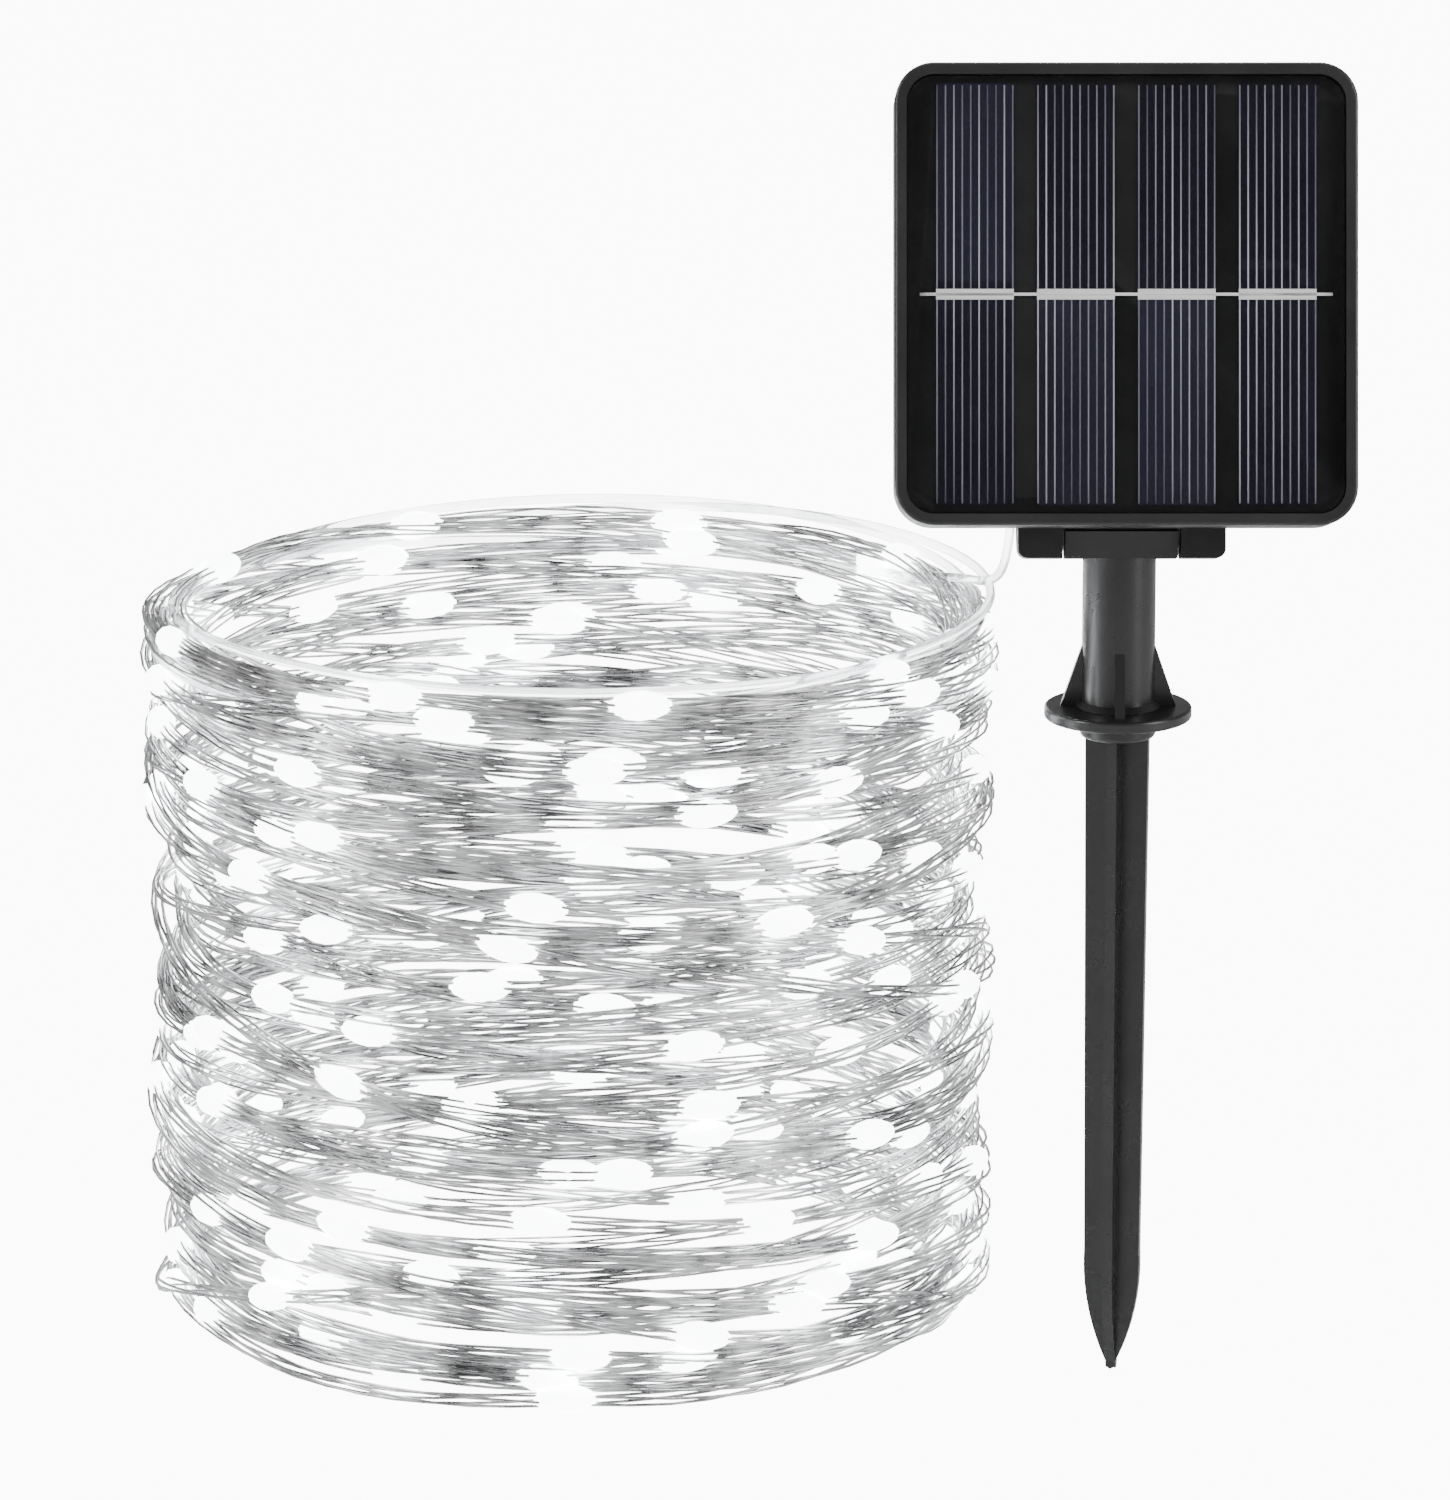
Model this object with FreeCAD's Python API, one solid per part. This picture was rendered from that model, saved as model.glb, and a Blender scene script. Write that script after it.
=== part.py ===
"""Solar string lights: a tilting solar head on a ground stake, with a clear lead and a coiled light string.

Millimetres. The origin is the tip of the ground spike, on the post's axis. +Z is up, the solar face
looks towards -Y, and +X is to the right of somebody who faces it.
The head is drawn in its own frame (x across, d towards the sun from the pivot axis, v up the panel from
its bottom edge) and then leaned back about the pivot.
"""
import FreeCAD, Part
import math
import os

V = FreeCAD.Vector
X_AXIS = V(1, 0, 0)
Y_AXIS = V(0, 1, 0)
Z_AXIS = V(0, 0, 1)

# Solar head
HEAD_SIZE = 78.0            # square head, side to side
HEAD_DEPTH = 20.0
HEAD_CORNER_R = 6.6
HEAD_LEAN = 15.0            # degrees back from vertical, at rest
PIVOT_Z = 153.9
PIVOT_TO_BACK = 9.25        # pivot axis to the head's back face
PIVOT_TO_BOTTOM = 3.0       # pivot axis down to the head's bottom edge
WALL = 1.8
BACK_WALL = 2.4
BEZEL_DEPTH = 5.0
GASKET_T = 0.8
RIM_W = 2.0
RIM_RECESS = 1.6            # front rim to the resin surface
LEDGE_W = 1.8               # ledge behind the solar board
BOARD_GAP = 0.2             # solar board to its pocket

D_BACK = PIVOT_TO_BACK
D_FRONT = D_BACK + HEAD_DEPTH
D_WALL = D_BACK + BACK_WALL
D_BEZEL = D_FRONT - BEZEL_DEPTH
MID_V = HEAD_SIZE / 2

# Solar stack
RESIN_T = 0.6
SOLAR_BOARD_T = 1.2
CELL_W = 13.1
CELL_H = 71.1
CELL_T = 0.25
CELL_PITCH = 17.0
RIBBON_H = 1.8
RIBBON_T = 0.1
LINK_H = 0.5
LINK_REACH = 34.8
D_RESIN = D_FRONT - RIM_RECESS
D_CELL = D_RESIN - RESIN_T
D_SOLAR = D_CELL - SOLAR_BOARD_T

# Head screws
SCREW_INSET = 6.0
SCREW_R = 1.2
SCREW_HEAD_R = 2.3
SCREW_HEAD_T = 1.6
BOSS_R = 3.0
SCREW_END_D = 21.0
BOSS_SPLIT_D = 16.0

# Battery and its door
CELL_AA_R = 7.1
CELL_AA_BODY = 49.0
NUB_R = 2.75
NUB_L = 1.5
BATTERY_V = 30.0
BATTERY_D = 18.1
BATTERY_X = -23.0           # flat end of the cell
SPRING_L = 4.8
SPRING_R = 4.0
SPRING_WIRE_R = 0.4
SPRING_PITCH = 1.3
CONTACT_T = 0.4
CONTACT_W = 9.0
DOOR_W = 60.0
DOOR_V0 = 21.0
DOOR_V1 = 44.5
DOOR_T = 1.0
SEAL_T = 0.4
SEAL_W = 0.8
HATCH_W = 57.0
HATCH_H = 14.8
DOOR_SCREW_X = 20.0
DOOR_SCREW_V = 41.5
DOOR_SCREW_R = 1.0
DOOR_SCREW_HEAD_R = 1.9
DOOR_SCREW_HEAD_T = 0.9
DOOR_SCREW_L = 5.5
DOOR_BOSS_R = 2.4

# Circuit board and buttons
PCB_W = 52.0
PCB_H = 16.0
PCB_T = 1.6
PCB_V = 58.0
PCB_D = 20.0
PCB_POST_X = 23.0
PCB_SCREW_R = 0.9
BUTTON_X = 14.0
BUTTON_R = 4.0
BUTTON_PROUD = 1.2
BUTTON_FLANGE_R = 5.0
BUTTON_STEM_R = 1.5
BUTTON_END_D = 14.5
SWITCH_W = 6.0
SWITCH_T = 3.6

# Pivot
EAR_X0 = 10.1
EAR_X1 = 17.7
BARREL_R = 8.0
EAR_ROUND = 1.6
BOLT_R = 2.0
BOLT_HOLE_R = 2.06
BOLT_HEAD_R = 3.8
BOLT_POCKET = 2.6
NUT_FLATS = 7.0
WASHER_R = 6.5
WASHER_T = 0.45
KNUCKLE_HALF_W = 9.6
KNUCKLE_FRONT = 8.9         # flat front of the knuckle, from the pivot axis
KNUCKLE_FRONT_TOP = -1.2    # top of that flat, from the pivot axis
KNUCKLE_FRONT_LOW = -5.9    # bottom of that flat, from the pivot axis

# Stake
TUBE_R = 6.3
TUBE_BORE_R = 5.25
TUBE_TOP_Z = 145.6
FLANGE_R = 12.7
FLANGE_Z0 = 117.8
FLANGE_Z1 = 119.9
GUSSET_T = 1.7
GUSSET_TOP_Z = 130.4
GUSSET_R = 9.9
STUB_R = 5.2
STUB_L = 14.0
SPIKE_TURN = -13.0          # degrees, blades about the post's axis
SPIKE_TOP_Z = 114.4
BLADE_T = 1.8
BLADE_TOP_W = 11.0
BLADE_LOW_W = 9.7
BLADE_LOW_Z = 22.0
NUB_W = 1.7
COLLAR_R = 6.55
COLLAR_ROUND = 0.9
COLLAR_RECESS = 0.8
COLLAR_GAP = 0.05
PLUG_R = 5.19
PLUG_TOP_Z = 129.0

# Lead and light string
LEAD_R = 0.8
GLAND_X = -22.5
GLAND_V = 14.0
GLAND_R = 3.6
GLAND_TIP_R = 2.0
GLAND_L = 8.2
GLAND_BORE_R = 0.86
COIL_X = -94.9
COIL_Y = 40.0
COIL_R0 = 64.5
COIL_R1 = 78.5
COIL_H = 126.0
COIL_ROUND = 4.0
LEAD_COIL_R0 = 66.0
LEAD_COIL_R1 = 76.0
LEAD_COIL_H = 5.0
LEAD_COIL_ROUND = 1.5
SLEEVE_R = 2.0
SLEEVE_L = 22.0
SLEEVE_TURN = -100.0        # degrees round the coil
SLEEVE_RING_R = 61.65       # coil axis to the sleeve's middle, against the inner wall
SLEEVE_Z = 116.0

# Route of the lead from inside the gland to the coil
LEAD_ROUTE = [
    V(-22.5, -8.36, 167.53),
    V(-22.5, 8.64, 162.97),
    V(-17.5, 23.5, 153.5),
    V(-18.2, 31.5, 138.0),
    V(-20.3, 44.0, 130.5),
    V(-25.8, 57.0, 128.5),
]


def box(x0, x1, y0, y1, z0, z1):
    return Part.makeBox(x1 - x0, y1 - y0, z1 - z0, V(x0, y0, z0))


def in_head(x, d, v):
    """Point of the head's frame, before the lean."""
    return V(x, -d, v - PIVOT_TO_BOTTOM)


def lean(shape):
    """Put a shape of the head's frame in its place at rest."""
    placed = shape.copy()
    placed.rotate(V(0, 0, 0), X_AXIS, -HEAD_LEAN)
    placed.translate(V(0, 0, PIVOT_Z))
    return placed


def slab(width, height, corner, d0, d1, x=0.0, v=MID_V):
    """Rounded rectangle that reaches from d0 to d1."""
    block = Part.makeBox(width, d1 - d0, height, in_head(x - width / 2, d1, v - height / 2))
    if corner <= 0:
        return block
    edges = [e for e in block.Edges if abs(e.tangentAt(e.FirstParameter).y) > 0.99]
    return block.makeFillet(corner, edges)


def rod(radius, d0, d1, x, v):
    """Round bar square to the panel, from d0 to d1."""
    return Part.makeCylinder(radius, d1 - d0, in_head(x, d0, v), V(0, -1, 0))


def along_x(radius, x0, x1, y=0.0, z=0.0):
    return Part.makeCylinder(radius, x1 - x0, V(x0, y, z), X_AXIS)


def fuse(shapes):
    body = shapes[0].fuse(shapes[1:]) if len(shapes) > 1 else shapes[0]
    return body.removeSplitter()


def corner_spots():
    low = SCREW_INSET
    high = HEAD_SIZE - SCREW_INSET
    reach = MID_V - SCREW_INSET
    return [(x, v) for x in (-reach, reach) for v in (low, high)]


def edges_at_depth(body, depth):
    """Edges that lie flat at one depth of the head."""
    near = 1e-6
    return [
        edge for edge in body.Edges
        if abs(edge.BoundBox.YMin + depth) < near and abs(edge.BoundBox.YMax + depth) < near
    ]


def front_bezel():
    """Front frame: rim, pocket for the solar board, ledge behind it and four screw bosses."""
    pocket = HEAD_SIZE - 2 * RIM_W
    window = pocket - 2 * LEDGE_W
    body = slab(HEAD_SIZE, HEAD_SIZE, HEAD_CORNER_R, D_BEZEL, D_FRONT)
    outer = edges_at_depth(body, D_FRONT)
    body = body.makeFillet(0.6, outer)
    body = body.cut(slab(pocket, pocket, HEAD_CORNER_R - RIM_W, D_SOLAR, D_FRONT + 1))
    body = body.cut(slab(window, window, HEAD_CORNER_R - RIM_W, D_BEZEL - 1, D_SOLAR))
    bosses = [rod(BOSS_R, BOSS_SPLIT_D, D_SOLAR, x, v) for x, v in corner_spots()]
    body = fuse([body] + bosses)
    for x, v in corner_spots():
        body = body.cut(rod(SCREW_R + 0.05, BOSS_SPLIT_D - 1, SCREW_END_D + 1, x, v))
    return body


def solar_board():
    size = HEAD_SIZE - 2 * RIM_W - 2 * BOARD_GAP
    return slab(size, size, HEAD_CORNER_R - RIM_W - BOARD_GAP, D_SOLAR, D_CELL)


def solar_cells():
    """Four long cells side by side."""
    return [slab(CELL_W, CELL_H, 0, D_CELL, D_CELL + CELL_T, (i - 1.5) * CELL_PITCH) for i in range(4)]


def ribbons():
    """Wide ribbon across each cell, and one thin link that joins them all."""
    top = D_CELL + CELL_T
    bars = [slab(CELL_W, RIBBON_H, 0, top, top + RIBBON_T, (i - 1.5) * CELL_PITCH) for i in range(4)]
    link = slab(2 * LINK_REACH, LINK_H, 0, top, top + RIBBON_T)
    return fuse(bars + [link])


def resin_cover():
    """Clear cast layer over the cells."""
    size = HEAD_SIZE - 2 * RIM_W - 2 * BOARD_GAP
    body = slab(size, size, HEAD_CORNER_R - RIM_W - BOARD_GAP, D_CELL, D_RESIN)
    for cell in solar_cells():
        body = body.cut(cell)
    return body.cut(ribbons())


def housing_gasket():
    ring = slab(HEAD_SIZE, HEAD_SIZE, HEAD_CORNER_R, D_BEZEL - GASKET_T, D_BEZEL)
    inner = HEAD_SIZE - 2 * WALL
    return ring.cut(slab(inner, inner, HEAD_CORNER_R - WALL, D_BEZEL - GASKET_T - 1, D_BEZEL + 1))


def ear(side):
    """Pivot ear on the back of the housing, rounded on its outer side."""
    x0 = min(side * EAR_X0, side * EAR_X1)
    x1 = max(side * EAR_X0, side * EAR_X1)
    block = box(x0, x1, -PIVOT_TO_BACK, 0, -BARREL_R, BARREL_R)
    body = fuse([block, along_x(BARREL_R, x0, x1)])
    outer_x = side * EAR_X1
    rim = [e for e in body.Edges
           if abs(e.BoundBox.XMin - outer_x) < 1e-4 and abs(e.BoundBox.XMax - outer_x) < 1e-4
           and e.BoundBox.YMax > -PIVOT_TO_BACK + 1e-4]
    body = body.makeFillet(EAR_ROUND, rim)
    root = box(x0, x1, -PIVOT_TO_BACK - WALL, -PIVOT_TO_BACK, 0, BARREL_R)
    return [body, root]


def back_housing():
    """Back shell with ears, bosses, board posts, contact ribs, button holes and the battery hatch."""
    d_edge = D_BEZEL - GASKET_T
    inner = HEAD_SIZE - 2 * WALL
    body = slab(HEAD_SIZE, HEAD_SIZE, HEAD_CORNER_R, D_BACK, d_edge)
    rear = edges_at_depth(body, D_BACK)
    body = body.makeFillet(1.0, rear)
    body = body.cut(slab(inner, inner, HEAD_CORNER_R - WALL, D_WALL, d_edge + 1))
    adds = ear(-1) + ear(1)
    adds += [rod(BOSS_R, D_BACK + 0.5, BOSS_SPLIT_D, x, v) for x, v in corner_spots()]
    adds += [rod(DOOR_BOSS_R, D_WALL - 0.5, D_BACK + DOOR_SCREW_L + 1, x, DOOR_SCREW_V)
             for x in (-DOOR_SCREW_X, DOOR_SCREW_X)]
    adds += [rod(2.0, D_WALL - 0.5, PCB_D, x, PCB_V) for x in (-PCB_POST_X, PCB_POST_X)]
    for x0, x1 in contact_rib_spans():
        rib = slab(x1 - x0, CONTACT_W + 3, 0, D_WALL - 0.5, BATTERY_D + 4.5, (x0 + x1) / 2, BATTERY_V)
        adds.append(rib)
    body = fuse([body] + adds)
    for cutter in housing_cutters():
        body = body.cut(cutter)
    return body


def contact_rib_spans():
    plate_x = BATTERY_X + CELL_AA_BODY + NUB_L
    spring_x = BATTERY_X - SPRING_L
    return [(plate_x + CONTACT_T, plate_x + CONTACT_T + 1.5), (spring_x - CONTACT_T - 1.5, spring_x - CONTACT_T)]


def housing_cutters():
    """Everything taken out of the housing."""
    door_mid = (DOOR_V0 + DOOR_V1) / 2
    door_d1 = D_BACK + DOOR_T + SEAL_T
    cutters = [slab(DOOR_W + 0.4, DOOR_V1 - DOOR_V0 + 0.4, 1.2, D_BACK - 1, door_d1, 0, door_mid)]
    cutters.append(slab(HATCH_W - 3.4, HATCH_H, 0, D_BACK - 1, D_WALL + 0.01, -0.25, BATTERY_V))
    for x, v in corner_spots():
        cutters.append(rod(SCREW_HEAD_R + 0.2, D_BACK - 1, D_BACK + SCREW_HEAD_T + 0.2, x, v))
        cutters.append(rod(SCREW_R + 0.15, D_BACK - 1, BOSS_SPLIT_D + 1, x, v))
    for x in (-DOOR_SCREW_X, DOOR_SCREW_X):
        cutters.append(rod(DOOR_SCREW_R + 0.05, D_BACK - 1, D_BACK + DOOR_SCREW_L + 0.3, x, DOOR_SCREW_V))
    for x in (-PCB_POST_X, PCB_POST_X):
        cutters.append(rod(PCB_SCREW_R + 0.05, PCB_D - 5, PCB_D + 1, x, PCB_V))
    for x in (-BUTTON_X, BUTTON_X):
        cutters.append(rod(BUTTON_R + 0.2, D_BACK - 1, D_WALL + 1, x, PCB_V))
    cutters.append(rod(2.65, D_BACK - 1, D_WALL + 1, GLAND_X, GLAND_V))
    cutters.append(along_x(BOLT_HOLE_R, -EAR_X1 - 1, EAR_X1 + 1))
    cutters.append(along_x(BOLT_HEAD_R + 0.2, -EAR_X1 - 1, -EAR_X1 + BOLT_POCKET))
    cutters.append(hexagon(NUT_FLATS + 0.3, EAR_X1 - BOLT_POCKET, EAR_X1 + 1))
    return cutters


def hexagon(flats, x0, x1):
    radius = flats / math.sqrt(3)
    corners = []
    for i in range(7):
        turn = math.radians(60 * i + 30)
        corners.append(V(x0, radius * math.cos(turn), radius * math.sin(turn)))
    return Part.Face(Part.makePolygon(corners)).extrude(V(x1 - x0, 0, 0))


def housing_screws():
    screws = []
    for x, v in corner_spots():
        head_d = D_BACK + 0.2
        head = rod(SCREW_HEAD_R, head_d, head_d + SCREW_HEAD_T, x, v)
        head = head.cut(cross_recess(x, v, head_d, 0.9))
        shank = rod(SCREW_R, head_d + SCREW_HEAD_T, SCREW_END_D, x, v)
        screws.append(fuse([head, shank]))
    return screws


def cross_recess(x, v, d, depth):
    wide = slab(2.4, 0.6, 0, d - 0.1, d + depth, x, v)
    tall = slab(0.6, 2.4, 0, d - 0.1, d + depth, x, v)
    return wide.fuse(tall)


def circuit_board():
    body = slab(PCB_W, PCB_H, 0.8, PCB_D, PCB_D + PCB_T, 0, PCB_V)
    for x in (-PCB_POST_X, PCB_POST_X):
        body = body.cut(rod(PCB_SCREW_R + 0.1, PCB_D - 1, PCB_D + PCB_T + 1, x, PCB_V))
    return body


def board_parts():
    """Chip and capacitor on the front, two push switches on the back."""
    front = PCB_D + PCB_T
    parts = [slab(5.0, 4.0, 0, front, front + 1.5, 0, PCB_V)]
    parts.append(rod(2.5, front, front + 3.5, 9.0, PCB_V + 2.0))
    for x in (-BUTTON_X, BUTTON_X):
        case = slab(SWITCH_W, SWITCH_W, 0.5, PCB_D - SWITCH_T, PCB_D, x, PCB_V)
        plunger = rod(1.4, PCB_D - SWITCH_T - 0.5, PCB_D - SWITCH_T, x, PCB_V)
        parts.append(fuse([case, plunger]))
    return parts


def board_screws():
    front = PCB_D + PCB_T
    return [fuse([rod(1.7, front, front + 1.0, x, PCB_V), rod(PCB_SCREW_R, PCB_D - 4, front, x, PCB_V)])
            for x in (-PCB_POST_X, PCB_POST_X)]


def battery_cell():
    """AA cell, flat end to the left."""
    y = -BATTERY_D
    z = BATTERY_V - PIVOT_TO_BOTTOM
    can = along_x(CELL_AA_R, BATTERY_X, BATTERY_X + CELL_AA_BODY, y, z)
    can = can.makeFillet(0.6, [e for e in can.Edges if e.Closed])
    nub_x = BATTERY_X + CELL_AA_BODY
    return fuse([can, along_x(NUB_R, nub_x - 0.5, nub_x + NUB_L, y, z)])


def spring_contact():
    """Coil spring on its plate, at the cell's flat end."""
    x = BATTERY_X - SPRING_L
    plate = slab(CONTACT_T, CONTACT_W, 0, BATTERY_D - 4.5, BATTERY_D + 4.5, x - CONTACT_T / 2, BATTERY_V)
    height = SPRING_L - 2 * SPRING_WIRE_R
    helix = Part.makeHelix(SPRING_PITCH, height, SPRING_R)
    profile = Part.Wire(Part.makeCircle(SPRING_WIRE_R, V(SPRING_R, 0, 0), Y_AXIS))
    coil = Part.Wire(helix).makePipeShell([profile], True, True)
    coil.rotate(V(0, 0, 0), Y_AXIS, 90)
    centre = in_head(x + SPRING_WIRE_R - 0.05, BATTERY_D, BATTERY_V)
    coil.translate(centre)
    return fuse([plate, coil])


def plate_contact():
    x = BATTERY_X + CELL_AA_BODY + NUB_L + CONTACT_T / 2
    return slab(CONTACT_T, CONTACT_W, 0, BATTERY_D - 4.5, BATTERY_D + 4.5, x, BATTERY_V)


def battery_door():
    """Flat door with two screw holes and a finger groove."""
    body = slab(DOOR_W, DOOR_V1 - DOOR_V0, 1.0, D_BACK, D_BACK + DOOR_T, 0, (DOOR_V0 + DOOR_V1) / 2)
    for x in (-DOOR_SCREW_X, DOOR_SCREW_X):
        body = body.cut(rod(DOOR_SCREW_R + 0.1, D_BACK - 1, D_WALL, x, DOOR_SCREW_V))
    return body.cut(slab(14.0, 1.2, 0.5, D_BACK - 1, D_BACK + 0.5, 0, DOOR_V0 + 3.5))


def door_seal():
    d0 = D_BACK + DOOR_T
    ring = slab(HATCH_W, HATCH_H + 3.0, 1.0, d0, d0 + SEAL_T, -0.25, BATTERY_V - 0.2)
    hole_w = HATCH_W - 2 * SEAL_W
    hole_h = HATCH_H + 3.0 - 2 * SEAL_W
    return ring.cut(slab(hole_w, hole_h, 0.5, d0 - 1, d0 + 1, -0.25, BATTERY_V - 0.2))


def door_screws():
    screws = []
    for x in (-DOOR_SCREW_X, DOOR_SCREW_X):
        head_d = D_BACK - DOOR_SCREW_HEAD_T
        head = rod(DOOR_SCREW_HEAD_R, head_d, D_BACK, x, DOOR_SCREW_V)
        head = head.cut(cross_recess(x, DOOR_SCREW_V, head_d, 0.5))
        shank = rod(DOOR_SCREW_R, D_BACK, D_BACK + DOOR_SCREW_L, x, DOOR_SCREW_V)
        screws.append(fuse([head, shank]))
    return screws


def button(x):
    """Push button: domed cap through the back wall, inner flange and stem."""
    cap = rod(BUTTON_R, D_BACK - BUTTON_PROUD, D_WALL + 0.2, x, PCB_V)
    outer = [e for e in cap.Edges if abs(e.BoundBox.YMin + D_BACK - BUTTON_PROUD) < 1e-6 and e.Closed]
    cap = cap.makeFillet(0.7, outer)
    flange = rod(BUTTON_FLANGE_R, D_WALL + 0.2, D_WALL + 1.0, x, PCB_V)
    stem = rod(BUTTON_STEM_R, D_WALL + 1.0, BUTTON_END_D, x, PCB_V)
    return fuse([cap, flange, stem])


def cable_gland():
    """Rubber sleeve that holds the lead where it leaves the back of the head."""
    tip = D_BACK - GLAND_L
    sleeve = Part.makeCone(GLAND_TIP_R, GLAND_R, GLAND_L, in_head(GLAND_X, tip, GLAND_V), V(0, -1, 0))
    neck = rod(2.6, D_BACK, D_WALL, GLAND_X, GLAND_V)
    inside = rod(GLAND_R, D_WALL, D_WALL + 1.0, GLAND_X, GLAND_V)
    body = fuse([sleeve, neck, inside])
    return body.cut(rod(GLAND_BORE_R, tip - 1, D_WALL + 2, GLAND_X, GLAND_V))


def pivot_bolt():
    seat = -EAR_X1 + BOLT_POCKET
    head = along_x(BOLT_HEAD_R, seat - 2.4, seat)
    slot = box(seat - 3, seat - 1.4, -0.5, 0.5, -BOLT_HEAD_R, BOLT_HEAD_R)
    return fuse([head.cut(slot), along_x(BOLT_R, seat, EAR_X1 - 0.3)])


def pivot_nut():
    seat = EAR_X1 - BOLT_POCKET
    return hexagon(NUT_FLATS, seat, seat + 2.2).cut(along_x(BOLT_R + 0.02, seat - 1, seat + 4))


def pivot_washers():
    """One washer on the inner side of each ear."""
    washers = []
    for x0 in (-EAR_X0, EAR_X0 - WASHER_T):
        disc = along_x(WASHER_R, x0, x0 + WASHER_T)
        washers.append(disc.cut(along_x(BOLT_HOLE_R, x0 - 1, x0 + 2)))
    return washers


def hinge_knuckle():
    """Middle knuckle of the pivot, with a flat front and a stub that plugs into the post tube."""
    half = KNUCKLE_HALF_W
    barrel = along_x(BARREL_R, -half, half, 0, PIVOT_Z)
    low = PIVOT_Z + KNUCKLE_FRONT_LOW
    front = box(-half, half, -KNUCKLE_FRONT, 0, low, PIVOT_Z + KNUCKLE_FRONT_TOP)
    neck = Part.makeCylinder(TUBE_R, PIVOT_Z - TUBE_TOP_Z, V(0, 0, TUBE_TOP_Z))
    stub = Part.makeCylinder(STUB_R, STUB_L, V(0, 0, TUBE_TOP_Z - STUB_L))
    body = fuse([barrel, front, neck, stub])
    return body.cut(along_x(BOLT_HOLE_R, -20, 20, 0, PIVOT_Z))


def post_tube():
    """Tube, ground flange and four gussets, moulded in one."""
    tube = Part.makeCylinder(TUBE_R, TUBE_TOP_Z - FLANGE_Z0, V(0, 0, FLANGE_Z0))
    flange = Part.makeCylinder(FLANGE_R, FLANGE_Z1 - FLANGE_Z0, V(0, 0, FLANGE_Z0))
    flange = flange.makeFillet(0.5, [e for e in flange.Edges if e.Closed])
    foot = Part.makeCone(TUBE_R + 1.0, TUBE_R, 1.0, V(0, 0, FLANGE_Z1))
    adds = [flange, foot]
    corners = [V(TUBE_R - 0.5, 0, FLANGE_Z1 - 0.5), V(GUSSET_R, 0, FLANGE_Z1 - 0.5), V(GUSSET_R, 0, FLANGE_Z1)]
    corners += [V(TUBE_R, 0, GUSSET_TOP_Z), V(TUBE_R - 0.5, 0, GUSSET_TOP_Z), corners[0]]
    for i in range(4):
        web = Part.Face(Part.makePolygon(corners)).extrude(V(0, GUSSET_T, 0))
        web.translate(V(0, -GUSSET_T / 2, 0))
        web.rotate(V(0, 0, 0), Z_AXIS, 90 * i)
        adds.append(web)
    body = fuse([tube] + adds)
    body = body.cut(Part.makeCylinder(TUBE_BORE_R, TUBE_TOP_Z, V(0, 0, FLANGE_Z0 - 1)))
    return body.cut(Part.makeCylinder(COLLAR_R + 0.35, COLLAR_RECESS, V(0, 0, FLANGE_Z0)))


def spike_blade(turn):
    """One flat blade of the spike: slow taper, then a curved point with a blunt nub."""
    top = BLADE_TOP_W / 2
    low = BLADE_LOW_W / 2
    nub = NUB_W / 2
    right = [
        Part.LineSegment(V(top, 0, SPIKE_TOP_Z), V(low, 0, BLADE_LOW_Z)).toShape(),
        Part.Arc(V(low, 0, BLADE_LOW_Z), V(3.7, 0, 9.5), V(nub, 0, 1.4)).toShape(),
        Part.Arc(V(nub, 0, 1.4), V(nub * 0.75, 0, 0.4), V(0, 0, 0)).toShape(),
    ]
    left = [e.mirror(V(0, 0, 0), X_AXIS) for e in right]
    lid = Part.LineSegment(V(-top, 0, SPIKE_TOP_Z), V(top, 0, SPIKE_TOP_Z)).toShape()
    outline = Part.Wire(Part.__sortEdges__(right + left + [lid]))
    blade = Part.Face(outline).extrude(V(0, BLADE_T, 0))
    blade.translate(V(0, -BLADE_T / 2, 0))
    blade.rotate(V(0, 0, 0), Z_AXIS, turn)
    return blade


def ground_spike():
    """Cross-shaped spike with a collar and a round plug that turns in the post tube."""
    collar_top = FLANGE_Z0 + COLLAR_RECESS - COLLAR_GAP
    collar = Part.makeCylinder(COLLAR_R, collar_top - SPIKE_TOP_Z, V(0, 0, SPIKE_TOP_Z))
    lower_edges = [edge for edge in collar.Edges if edge.Closed and edge.BoundBox.ZMax < FLANGE_Z0]
    collar = collar.makeFillet(COLLAR_ROUND, lower_edges)
    plug = Part.makeCylinder(PLUG_R, PLUG_TOP_Z - collar_top, V(0, 0, collar_top))
    return fuse([collar, plug, spike_blade(SPIKE_TURN), spike_blade(SPIKE_TURN + 90)])


def rounded_tube(points, radius, name):
    """Tube of straight runs joined by tangent arcs."""
    edges = []
    start = points[0]
    for before, here, after in zip(points, points[1:], points[2:]):
        back = (before - here).normalize()
        ahead = (after - here).normalize()
        half_turn = (math.pi - back.getAngle(ahead)) / 2
        shorter = min((before - here).Length, (after - here).Length)
        reach = 0.45 * shorter
        bend = reach / math.tan(half_turn)
        print(name, "bend radius", round(bend, 1), "mm, turn", round(math.degrees(2 * half_turn)), "degrees")
        enter = here + back * reach
        leave = here + ahead * reach
        inward = (back + ahead).normalize()
        middle = here + inward * (bend / math.cos(half_turn) - bend)
        edges.append(Part.LineSegment(start, enter).toShape())
        edges.append(Part.Arc(enter, middle, leave).toShape())
        start = leave
    edges.append(Part.LineSegment(start, points[-1]).toShape())
    path = Part.Wire(edges)
    direction = (points[1] - points[0]).normalize()
    profile = Part.Wire(Part.makeCircle(radius, points[0], direction))
    tube = path.makePipeShell([profile], True, False)
    ratio = tube.Volume / (math.pi * radius ** 2 * path.Length)
    print(name, "length", round(path.Length, 1), "mm, volume over section times length", round(ratio, 4))
    return tube


def lead_cable():
    return rounded_tube(LEAD_ROUTE, LEAD_R, "lead_cable")


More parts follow.
